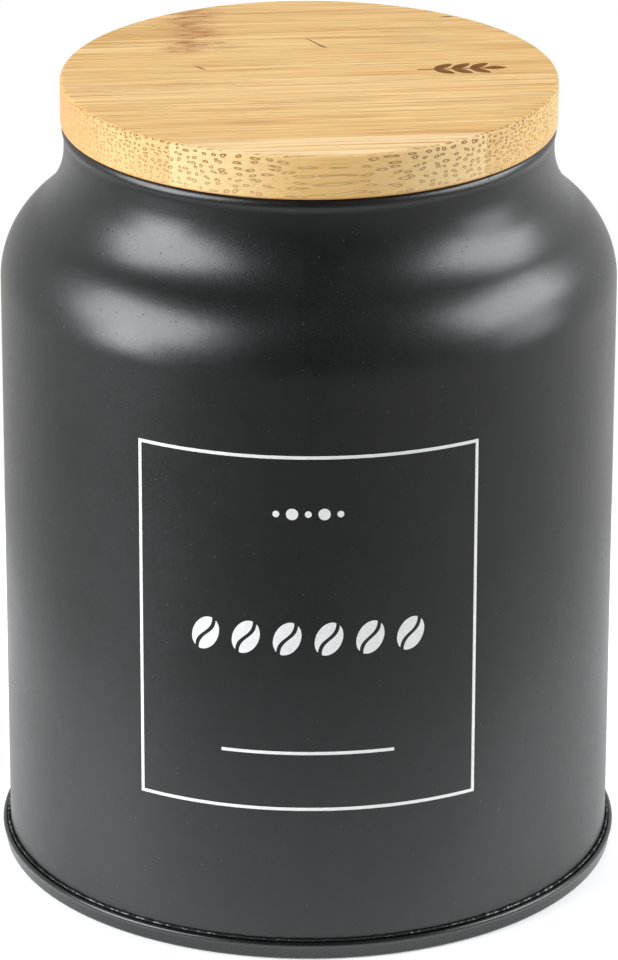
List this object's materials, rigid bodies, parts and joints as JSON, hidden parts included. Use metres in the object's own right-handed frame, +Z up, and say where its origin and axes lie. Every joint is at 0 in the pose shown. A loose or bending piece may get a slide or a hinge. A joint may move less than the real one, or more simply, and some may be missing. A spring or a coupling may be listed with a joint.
{
  "type": "coffee tin",
  "caption": "Round black steel tin with a shouldered neck, a white framed print and a flat bamboo lid that lifts off and seals on a silicone ring.",
  "frame": {"origin": "centre of the tin's foot, on the surface it stands on", "axes": "+Z up along the tin's axis, -Y towards the printed front"},
  "size_m": [0.1333, 0.1334, 0.1726],
  "materials": {
    "black_paint": "satin black powder coat",
    "seam_compound": "painted sealing compound",
    "white_ink": "screen-printed white ink",
    "silicone": "soft translucent white silicone",
    "bamboo_board": "sanded bamboo",
    "bamboo_plug": "sanded bamboo",
    "burnt_bamboo": "laser-burnt bamboo"
  },
  "bodies": {
    "tin": {"body_shell": "black_paint", "side_weld": "black_paint", "base_end": "black_paint", "seam_compound": "seam_compound", "label_frame": "white_ink", "label_rule": "white_ink", "label_beans": "white_ink", "label_dots": "white_ink"},
    "seal": {"seal_ring": "silicone"},
    "lid": {"lid_strip_1": "bamboo_board", "lid_strip_2": "bamboo_board", "lid_strip_3": "bamboo_board", "lid_strip_4": "bamboo_board", "lid_strip_5": "bamboo_board", "lid_strip_6": "bamboo_board", "plug_strip_1": "bamboo_plug", "plug_strip_2": "bamboo_plug", "plug_strip_3": "bamboo_plug", "plug_strip_4": "bamboo_plug", "plug_strip_5": "bamboo_plug", "lid_mark": "burnt_bamboo"}
  },
  "joints": [
    {"name": "lid_lift", "type": "slide", "parent": "tin", "child": "seal", "axis": [0, 0, 1], "range_m": [0, 0.08]},
    {"name": "lid_turn", "type": "hinge", "parent": "seal", "child": "lid", "pos_m": [0, 0, 0.16], "axis": [0, 0, 1], "continuous": true}
  ]
}
